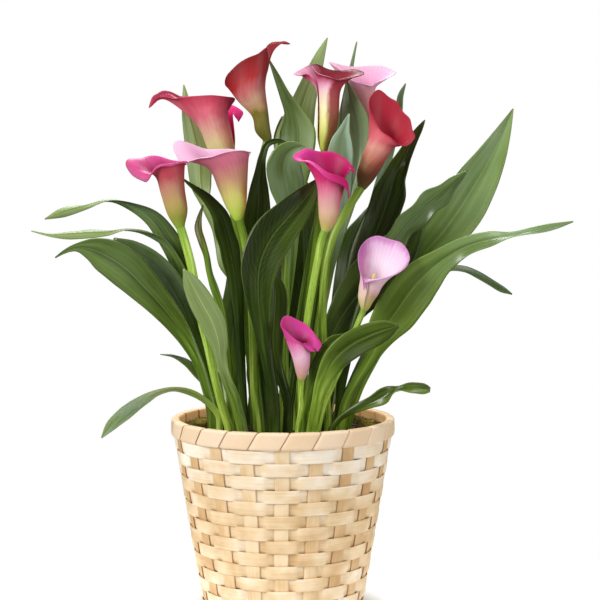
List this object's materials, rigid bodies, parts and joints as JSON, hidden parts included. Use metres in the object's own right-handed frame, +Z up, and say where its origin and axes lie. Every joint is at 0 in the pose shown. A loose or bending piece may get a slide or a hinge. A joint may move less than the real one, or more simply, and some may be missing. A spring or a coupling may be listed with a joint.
{
  "type": "potted calla lily",
  "caption": "Flowering calla lily with broad pointed leaves and rolled funnel flowers, growing in a nursery pot inside a woven bamboo cover basket with a lashed rim.",
  "frame": {"origin": "middle of the basket's underside, on the ground", "axes": "+Z up, -Y towards the onlooker in the picture, +X to the right as seen"},
  "size_m": [0.4255, 0.2204, 0.463],
  "materials": {
    "bamboo_weave": "pale split bamboo, satin",
    "bamboo_base": "pale split bamboo, matt",
    "bamboo_hoop": "pale split bamboo, satin",
    "bamboo_lashing": "pale split bamboo, satin",
    "pot_plastic": "thin dark green plastic",
    "soil": "potting mix of bark and peat, rough",
    "moss": "dry moss, rough",
    "leaf_bright": "fresh green leaf, semi-gloss",
    "leaf_deep": "shaded deep green leaf, semi-gloss",
    "leaf_sage": "pale green leaf underside, satin",
    "stem_lime": "lime green stem, satin",
    "stem_olive": "olive green stem, satin",
    "spathe_a": "pink spathe, satin",
    "spathe_b": "rose red spathe, satin",
    "spathe_c": "pale pink spathe, satin",
    "spathe_d": "dark red spathe, satin",
    "spathe_e": "crimson spathe, satin",
    "spathe_f": "magenta spathe, satin",
    "spathe_g": "soft pink spathe, satin",
    "spathe_h": "red spathe, satin",
    "spathe_i": "near-white pink spathe, satin",
    "spathe_j": "bright pink spathe, satin"
  },
  "bodies": {
    "root": {"basket_wall": "bamboo_weave", "basket_base": "bamboo_base", "rim_hoop": "bamboo_hoop", "rim_binding": "bamboo_lashing", "nursery_pot": "pot_plastic", "soil": "soil", "moss": "moss", "leaf_left_long": "leaf_bright", "leaf_left_dark": "leaf_deep", "leaf_left_upper": "leaf_sage", "leaf_left_middle": "leaf_sage", "leaf_left_low": "leaf_deep", "leaf_left_small": "leaf_deep", "leaf_left_front": "leaf_sage", "leaf_left_tall": "leaf_sage", "leaf_left_behind": "leaf_deep", "leaf_young_rolled": "leaf_bright", "leaf_centre_tall": "leaf_bright", "leaf_centre_broad": "leaf_sage", "leaf_centre_back": "leaf_sage", "leaf_centre_dark": "leaf_deep", "leaf_centre_round": "leaf_deep", "leaf_centre_narrow": "leaf_deep", "leaf_right_spear": "leaf_bright", "leaf_right_blue": "leaf_sage", "leaf_right_dark": "leaf_deep", "leaf_right_large": "leaf_bright", "leaf_right_wavy": "leaf_sage", "leaf_right_sweep": "leaf_bright", "leaf_right_drooping": "leaf_deep", "leaf_right_front": "leaf_bright", "leaf_right_upright": "leaf_bright", "leaf_right_low": "leaf_deep", "leaf_right_shadow": "leaf_deep", "leaf_tip_top": "leaf_sage", "leaf_tip_right": "leaf_sage", "leaf_back_left": "leaf_bright", "leaf_back_centre": "leaf_deep", "leaf_back_upright": "leaf_bright", "leaf_back_right": "leaf_deep", "stem_a": "stem_lime", "spathe_a": "spathe_a", "stem_b": "stem_olive", "spathe_b": "spathe_b", "stem_c": "stem_olive", "spathe_c": "spathe_c", "stem_d": "stem_olive", "spathe_d": "spathe_d", "stem_e": "stem_olive", "spathe_e": "spathe_e", "stem_f": "stem_lime", "spathe_f": "spathe_f", "stem_g": "stem_olive", "spathe_g": "spathe_g", "stem_h": "stem_olive", "spathe_h": "spathe_h", "stem_i": "stem_lime", "spathe_i": "spathe_i", "stem_j": "stem_lime", "spathe_j": "spathe_j"}
  },
  "joints": []
}
